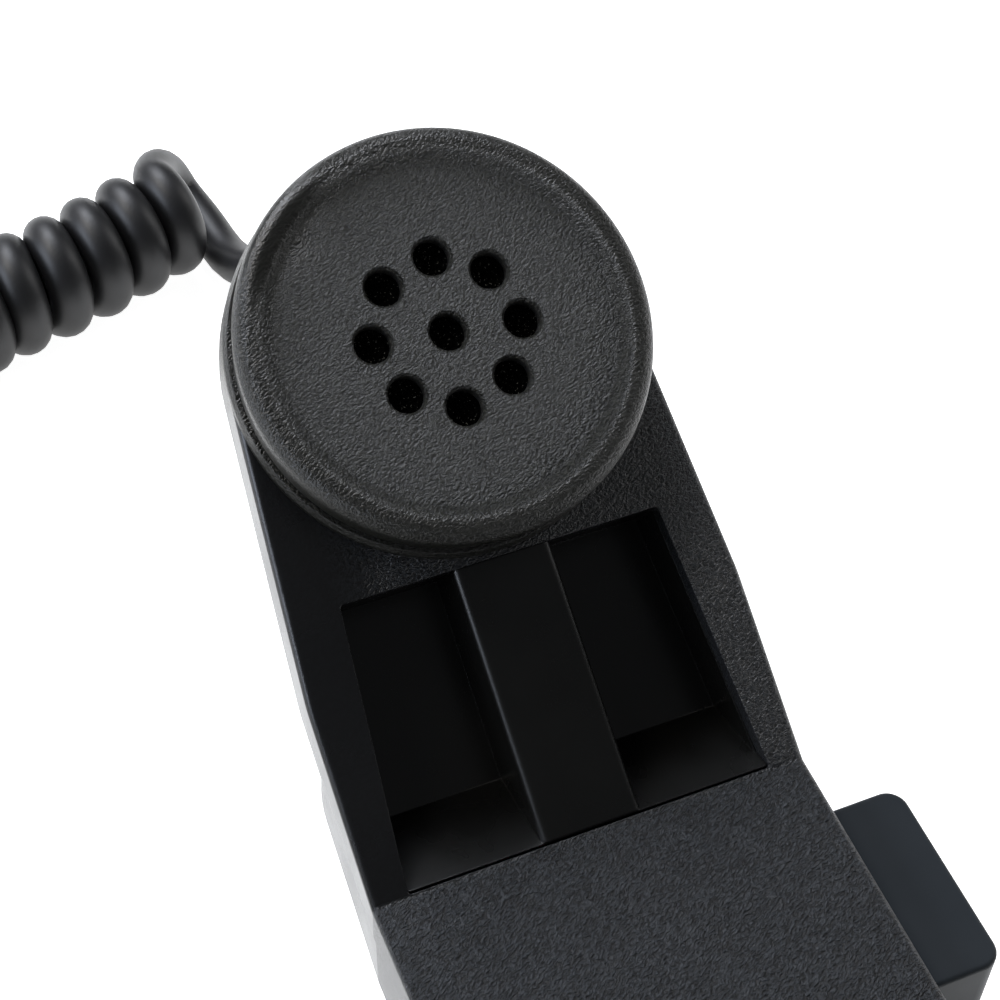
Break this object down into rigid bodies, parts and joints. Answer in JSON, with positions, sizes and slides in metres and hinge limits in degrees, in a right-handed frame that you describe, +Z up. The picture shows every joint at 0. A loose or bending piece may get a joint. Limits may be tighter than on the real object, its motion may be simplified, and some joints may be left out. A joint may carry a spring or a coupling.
{
  "type": "radio handset microphone",
  "caption": "Curved hand-held radio handset with microphone and earpiece screw caps, side push-to-talk key, recessed rib and a curly cord ending in a two-pin plug.",
  "frame": {"origin": "middle of the flat back of the grip, which rests on the table", "axes": "+X along the grip towards the microphone head, +Z up out of the grip's face, +Y away from the push-to-talk key"},
  "size_m": [0.3039, 0.1437, 0.0851],
  "materials": {
    "shell_black": "leather-grained moulded plastic",
    "smooth_black": "smooth moulded plastic",
    "cap_black": "fine pebble-grained moulded plastic",
    "key_black": "smooth satin moulded plastic",
    "rubber_black": "soft moulded rubber",
    "cord_jacket": "satin polyurethane jacket",
    "foam_black": "open-cell foam felt",
    "nickel": "nickel-plated brass",
    "steel": "zinc-plated steel",
    "spring_steel": "drawn spring wire",
    "aluminium_case": "drawn can",
    "board_green": "coated glass-fibre board",
    "block_grey": "moulded nylon",
    "insulator_white": "nylon ring",
    "wire_red": "insulated wire",
    "wire_blue": "insulated wire"
  },
  "bodies": {
    "handset": {"front_shell": "shell_black", "back_shell": "shell_black", "seam_gasket": "rubber_black", "recess_insert": "smooth_black", "mic_collar": "smooth_black", "mic_gasket": "rubber_black", "mic_cap": "cap_black", "mic_cup": "smooth_black", "mic_capsule": "aluminium_case", "mic_dust_pad": "foam_black", "mic_contacts": "nickel", "ear_collar": "smooth_black", "ear_gasket": "rubber_black", "ear_cap": "cap_black", "ear_cup": "smooth_black", "ear_capsule": "aluminium_case", "ear_dust_pad": "foam_black", "ear_contacts": "nickel", "shell_screws": "steel", "ptt_pin": "steel", "ptt_spring": "spring_steel", "switch_body": "smooth_black", "switch_bracket": "steel", "bracket_screws": "steel", "terminal_board": "board_green", "terminal_block": "block_grey", "terminal_screws": "nickel", "board_screws": "steel", "cord_conductors": "wire_red", "mic_wires": "wire_blue", "ear_wires": "wire_blue", "switch_wires": "wire_red", "strain_relief": "rubber_black", "inner_cable": "cord_jacket", "cord_lead": "cord_jacket", "cord_coil": "cord_jacket", "cord_tail": "cord_jacket", "plug_boot": "rubber_black", "plug_body": "smooth_black", "plug_sleeves": "nickel", "plug_insulators": "insulator_white", "plug_tips": "nickel"},
    "key": {"ptt_bar": "key_black"},
    "plunger": {"switch_plunger": "insulator_white"}
  },
  "joints": [
    {"name": "key_press", "type": "hinge", "parent": "handset", "child": "key", "pos_m": [0.0285, -0.0275, 0.0126], "axis": [0, 0, -1], "range_deg": [0, 5], "stiffness_Nm_per_rad": 0.6, "springref_deg": -5.73, "deforming": ["ptt_spring"]},
    {"name": "plunger_travel", "type": "slide", "parent": "handset", "child": "plunger", "axis": [0, 1, 0], "range_m": [0, 0.00095]}
  ],
  "couplings": [
    {"joint": "plunger_travel", "follows": "key_press", "m_per_rad": 0.0105}
  ]
}
